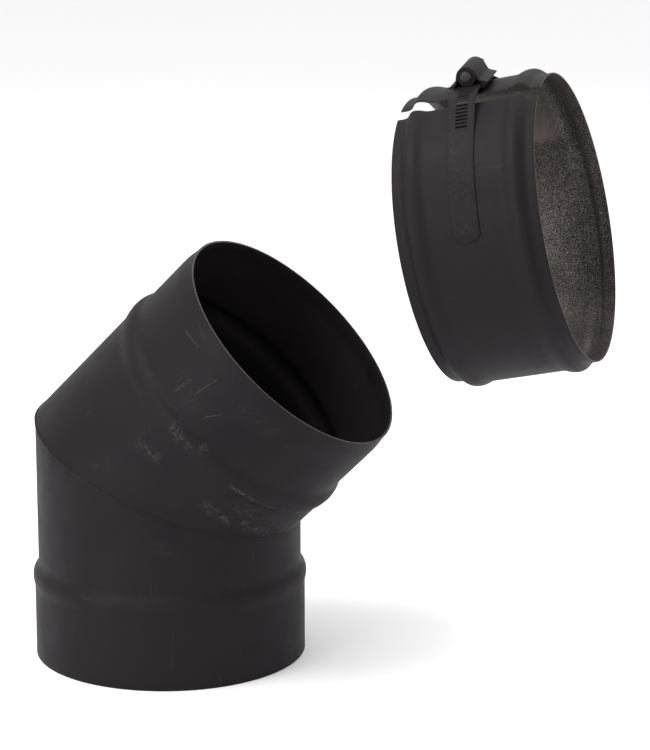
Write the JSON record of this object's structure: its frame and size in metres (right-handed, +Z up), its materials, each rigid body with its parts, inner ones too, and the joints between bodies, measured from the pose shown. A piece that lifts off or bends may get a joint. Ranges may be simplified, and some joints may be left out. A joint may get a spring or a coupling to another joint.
{
  "type": "flue elbow",
  "caption": "Mitred 45 degree stove flue elbow with a socket end, a spigot end and the beaded worm-drive locking band for its joint.",
  "frame": {"origin": "centre of the elbow's lower rim, at the mouth of its socket end", "axes": "+Z up the lower leg's axis, +X the way the upper leg leans, +Y away from the viewer's side"},
  "size_m": [0.3287, 0.189, 0.3484],
  "materials": {
    "elbow_paint": "matt heat resistant paint",
    "weld_paint": "matt heat resistant paint",
    "band_paint": "matt paint outside, bare steel with overspray inside",
    "strap_paint": "matt paint",
    "housing_paint": "thin satin paint",
    "screw_steel": "zinc plated steel, partly painted"
  },
  "bodies": {
    "elbow": {"lower_segment": "elbow_paint", "upper_segment": "elbow_paint", "mitre_weld": "weld_paint"},
    "band_front": {"band_front_half": "band_paint", "worm_strap": "strap_paint", "strap_weld_spots": "strap_paint"},
    "band_rear": {"band_rear_half": "band_paint", "anchor_strap": "strap_paint", "anchor_weld_spots": "strap_paint", "worm_housing": "housing_paint"},
    "worm": {"worm_screw": "screw_steel"}
  },
  "joints": [
    {"name": "band_lift_aside", "type": "slide", "parent": "elbow", "child": "band_front", "axis": [0, 0.9659, 0.2588], "range_m": [0, 0.16]},
    {"name": "band_closing", "type": "hinge", "parent": "band_front", "child": "band_rear", "pos_m": [0.20919, 0.03747, 0.18024], "axis": [0.9744, 0.0853, 0.2079], "range_deg": [0, 3.1]},
    {"name": "worm_turn", "type": "hinge", "parent": "band_rear", "child": "worm", "pos_m": [0.17722, 0.01027, 0.34125], "axis": [0.1165, -0.9829, -0.1429], "range_deg": [0, 1370]}
  ],
  "couplings": [
    {"joint": "worm_turn", "follows": "band_closing", "ratio": 441.19}
  ]
}
